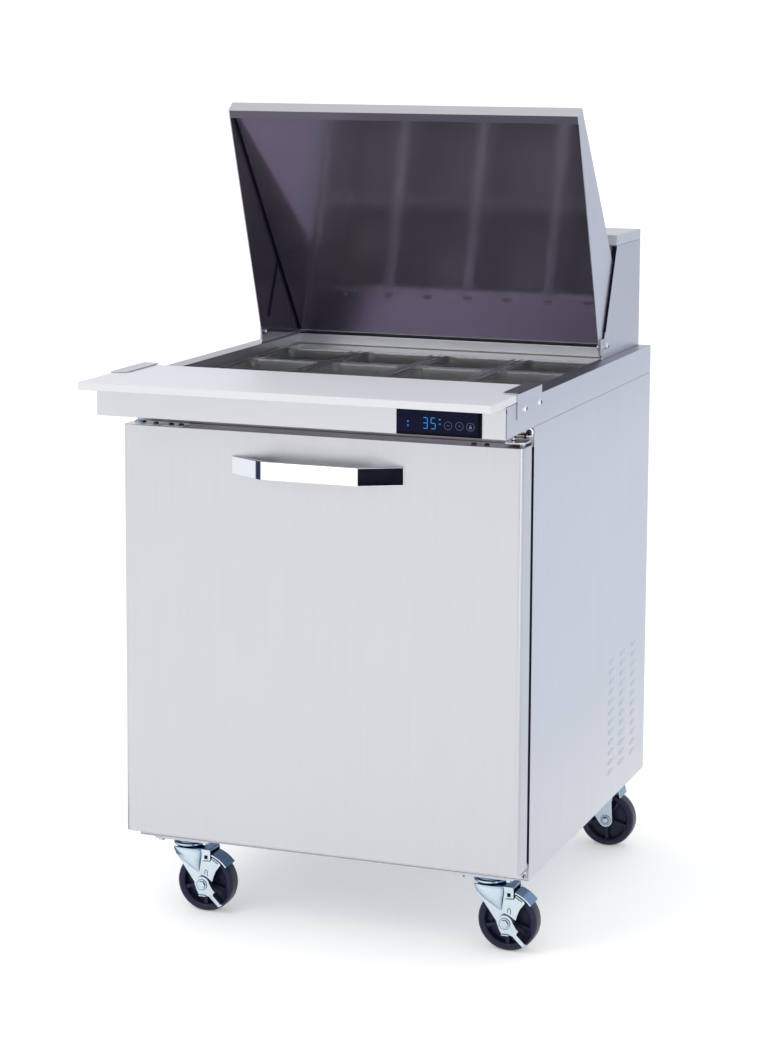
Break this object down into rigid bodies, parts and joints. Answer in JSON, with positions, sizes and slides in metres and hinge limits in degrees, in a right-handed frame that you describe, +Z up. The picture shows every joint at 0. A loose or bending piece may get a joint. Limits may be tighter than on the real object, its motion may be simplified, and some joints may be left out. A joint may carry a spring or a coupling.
{
  "type": "refrigerated sandwich prep table",
  "caption": "Insulated one-door stainless cabinet on casters, with an open well of food pans, a fold-back lid in a rear hood and a full-width cutting board.",
  "frame": {"origin": "on the floor, under the middle of the whole table's bounding box", "axes": "+X to the user's right across the front, -Y towards the user, +Z up"},
  "size_m": [0.708, 0.942, 1.3746],
  "materials": {
    "stainless_brushed": "satin brushed stainless sheet",
    "stainless_polished": "polished, near-mirror stainless sheet",
    "galvanised_steel": "satin galvanised sheet",
    "zinc_plated": "bright blue-white zinc plating",
    "chrome_trim": "polished chrome",
    "dark_breaker": "satin black plastic",
    "white_liner": "satin white moulded liner",
    "foam": "matte rigid insulating foam",
    "board_white": "satin white polyethylene",
    "black_rubber": "matte black seal",
    "wheel_black": "satin black moulded wheel",
    "lens_black": "gloss black display window",
    "clear_polycarbonate": "clear gloss polycarbonate",
    "black_enamel": "satin black enamel",
    "aluminium_fins": "satin aluminium"
  },
  "bodies": {
    "cabinet": {"left_side_panel": "stainless_brushed", "right_side_panel": "stainless_brushed", "rear_panel": "galvanised_steel", "base_pan": "galvanised_steel", "front_frame": "dark_breaker", "inner_liner": "white_liner", "foam_core": "foam", "well_liner": "stainless_brushed", "worktop": "stainless_brushed", "board_bracket_left": "stainless_brushed", "board_bracket_right": "stainless_brushed", "control_panel": "dark_breaker", "display_lens": "lens_black", "divider_bar_1": "stainless_brushed", "divider_bar_2": "stainless_brushed", "divider_bar_3": "stainless_brushed", "wire_shelf": "chrome_trim", "compressor": "black_enamel", "condenser_coil": "aluminium_fins", "condenser_fan_motor": "black_enamel", "drip_pan": "white_liner", "evaporator_coil": "aluminium_fins", "evaporator_fan_motor": "black_enamel", "top_hinge_bracket": "stainless_brushed", "bottom_hinge_bracket": "stainless_brushed", "hood_shell": "stainless_brushed", "hood_cap": "stainless_brushed"},
    "door": {"door_shell": "stainless_brushed", "door_liner": "white_liner", "door_gasket": "black_rubber", "door_handle": "chrome_trim"},
    "lid": {"lid_outer_skin": "stainless_brushed", "lid_inner_panel": "stainless_polished"},
    "board": {"cutting_board": "board_white"},
    "condenser_rotor": {"condenser_fan": "aluminium_fins"},
    "evaporator_rotor": {"evaporator_fan": "aluminium_fins"},
    "swivel_front_left": {"caster_fork_front_left": "zinc_plated"},
    "wheel_front_left": {"caster_wheel_front_left": "wheel_black"},
    "swivel_front_right": {"caster_fork_front_right": "zinc_plated"},
    "wheel_front_right": {"caster_wheel_front_right": "wheel_black"},
    "swivel_rear_left": {"caster_fork_rear_left": "zinc_plated"},
    "wheel_rear_left": {"caster_wheel_rear_left": "wheel_black"},
    "swivel_rear_right": {"caster_fork_rear_right": "zinc_plated"},
    "wheel_rear_right": {"caster_wheel_rear_right": "wheel_black"},
    "shoe_front_left": {"brake_shoe_front_left": "zinc_plated"},
    "lever_front_left": {"brake_lever_front_left": "zinc_plated"},
    "shoe_front_right": {"brake_shoe_front_right": "zinc_plated"},
    "lever_front_right": {"brake_lever_front_right": "zinc_plated"},
    "pan_1_1": {"food_pan_1_1": "clear_polycarbonate"},
    "pan_1_2": {"food_pan_1_2": "clear_polycarbonate"},
    "pan_1_3": {"food_pan_1_3": "clear_polycarbonate"},
    "pan_1_4": {"food_pan_1_4": "clear_polycarbonate"},
    "pan_2_1": {"food_pan_2_1": "clear_polycarbonate"},
    "pan_2_2": {"food_pan_2_2": "clear_polycarbonate"},
    "pan_2_3": {"food_pan_2_3": "clear_polycarbonate"},
    "pan_2_4": {"food_pan_2_4": "clear_polycarbonate"},
    "pan_3_1": {"food_pan_3_1": "clear_polycarbonate"},
    "pan_3_2": {"food_pan_3_2": "clear_polycarbonate"},
    "pan_3_3": {"food_pan_3_3": "clear_polycarbonate"},
    "pan_3_4": {"food_pan_3_4": "clear_polycarbonate"}
  },
  "joints": [
    {"name": "door_hinge", "type": "hinge", "parent": "cabinet", "child": "door", "pos_m": [0.337, -0.275, 0.5], "axis": [0, 0, 1], "range_deg": [0, 110], "stiffness_Nm_per_rad": 1.2, "springref_deg": -14.9},
    {"name": "lid_hinge", "type": "hinge", "parent": "cabinet", "child": "lid", "pos_m": [0, 0.231, 0.951], "axis": [-1, 0, 0], "range_deg": [-71, 0]},
    {"name": "board_slide", "type": "slide", "parent": "cabinet", "child": "board", "axis": [0, -1, 0], "range_m": [0, 0.12]},
    {"name": "condenser_fan_spin", "type": "hinge", "parent": "cabinet", "child": "condenser_rotor", "pos_m": [0.262, 0.337, 0.275], "axis": [1, 0, 0], "continuous": true},
    {"name": "evaporator_fan_spin", "type": "hinge", "parent": "cabinet", "child": "evaporator_rotor", "pos_m": [0, 0.358, 0.605], "axis": [0, 1, 0], "continuous": true},
    {"name": "swivel_front_left_turn", "type": "hinge", "parent": "cabinet", "child": "swivel_front_left", "pos_m": [-0.272, -0.214, 0.12], "axis": [0, 0, 1], "continuous": true},
    {"name": "wheel_front_left_roll", "type": "hinge", "parent": "swivel_front_left", "child": "wheel_front_left", "pos_m": [-0.238, -0.214, 0.051], "axis": [0, 1, 0], "continuous": true},
    {"name": "swivel_front_right_turn", "type": "hinge", "parent": "cabinet", "child": "swivel_front_right", "pos_m": [0.272, -0.214, 0.12], "axis": [0, 0, 1], "continuous": true},
    {"name": "wheel_front_right_roll", "type": "hinge", "parent": "swivel_front_right", "child": "wheel_front_right", "pos_m": [0.306, -0.214, 0.051], "axis": [0, 1, 0], "continuous": true},
    {"name": "swivel_rear_left_turn", "type": "hinge", "parent": "cabinet", "child": "swivel_rear_left", "pos_m": [-0.272, 0.39, 0.12], "axis": [0, 0, 1], "continuous": true},
    {"name": "wheel_rear_left_roll", "type": "hinge", "parent": "swivel_rear_left", "child": "wheel_rear_left", "pos_m": [-0.238, 0.39, 0.051], "axis": [0, 1, 0], "continuous": true},
    {"name": "swivel_rear_right_turn", "type": "hinge", "parent": "cabinet", "child": "swivel_rear_right", "pos_m": [0.272, 0.39, 0.12], "axis": [0, 0, 1], "continuous": true},
    {"name": "wheel_rear_right_roll", "type": "hinge", "parent": "swivel_rear_right", "child": "wheel_rear_right", "pos_m": [0.306, 0.39, 0.051], "axis": [0, 1, 0], "continuous": true},
    {"name": "lever_front_left_press", "type": "hinge", "parent": "swivel_front_left", "child": "lever_front_left", "pos_m": [-0.238, -0.24, 0.051], "axis": [0, 1, 0], "range_deg": [0, 25]},
    {"name": "shoe_front_left_press", "type": "hinge", "parent": "swivel_front_left", "child": "shoe_front_left", "pos_m": [-0.232, -0.2368, 0.098], "axis": [0, 1, 0], "range_deg": [0, 3.5]},
    {"name": "lever_front_right_press", "type": "hinge", "parent": "swivel_front_right", "child": "lever_front_right", "pos_m": [0.306, -0.24, 0.051], "axis": [0, 1, 0], "range_deg": [0, 25]},
    {"name": "shoe_front_right_press", "type": "hinge", "parent": "swivel_front_right", "child": "shoe_front_right", "pos_m": [0.312, -0.2368, 0.098], "axis": [0, 1, 0], "range_deg": [0, 3.5]},
    {"name": "pan_1_1_lift", "type": "slide", "parent": "cabinet", "child": "pan_1_1", "axis": [0, 0, 1], "range_m": [0, 0.115]},
    {"name": "pan_1_2_lift", "type": "slide", "parent": "cabinet", "child": "pan_1_2", "axis": [0, 0, 1], "range_m": [0, 0.115]},
    {"name": "pan_1_3_lift", "type": "slide", "parent": "cabinet", "child": "pan_1_3", "axis": [0, 0, 1], "range_m": [0, 0.115]},
    {"name": "pan_1_4_lift", "type": "slide", "parent": "cabinet", "child": "pan_1_4", "axis": [0, 0, 1], "range_m": [0, 0.115]},
    {"name": "pan_2_1_lift", "type": "slide", "parent": "cabinet", "child": "pan_2_1", "axis": [0, 0, 1], "range_m": [0, 0.115]},
    {"name": "pan_2_2_lift", "type": "slide", "parent": "cabinet", "child": "pan_2_2", "axis": [0, 0, 1], "range_m": [0, 0.115]},
    {"name": "pan_2_3_lift", "type": "slide", "parent": "cabinet", "child": "pan_2_3", "axis": [0, 0, 1], "range_m": [0, 0.115]},
    {"name": "pan_2_4_lift", "type": "slide", "parent": "cabinet", "child": "pan_2_4", "axis": [0, 0, 1], "range_m": [0, 0.115]},
    {"name": "pan_3_1_lift", "type": "slide", "parent": "cabinet", "child": "pan_3_1", "axis": [0, 0, 1], "range_m": [0, 0.115]},
    {"name": "pan_3_2_lift", "type": "slide", "parent": "cabinet", "child": "pan_3_2", "axis": [0, 0, 1], "range_m": [0, 0.115]},
    {"name": "pan_3_3_lift", "type": "slide", "parent": "cabinet", "child": "pan_3_3", "axis": [0, 0, 1], "range_m": [0, 0.115]},
    {"name": "pan_3_4_lift", "type": "slide", "parent": "cabinet", "child": "pan_3_4", "axis": [0, 0, 1], "range_m": [0, 0.115]}
  ],
  "couplings": [
    {"joint": "shoe_front_left_press", "follows": "lever_front_left_press", "ratio": 0.14},
    {"joint": "shoe_front_right_press", "follows": "lever_front_right_press", "ratio": 0.14}
  ]
}
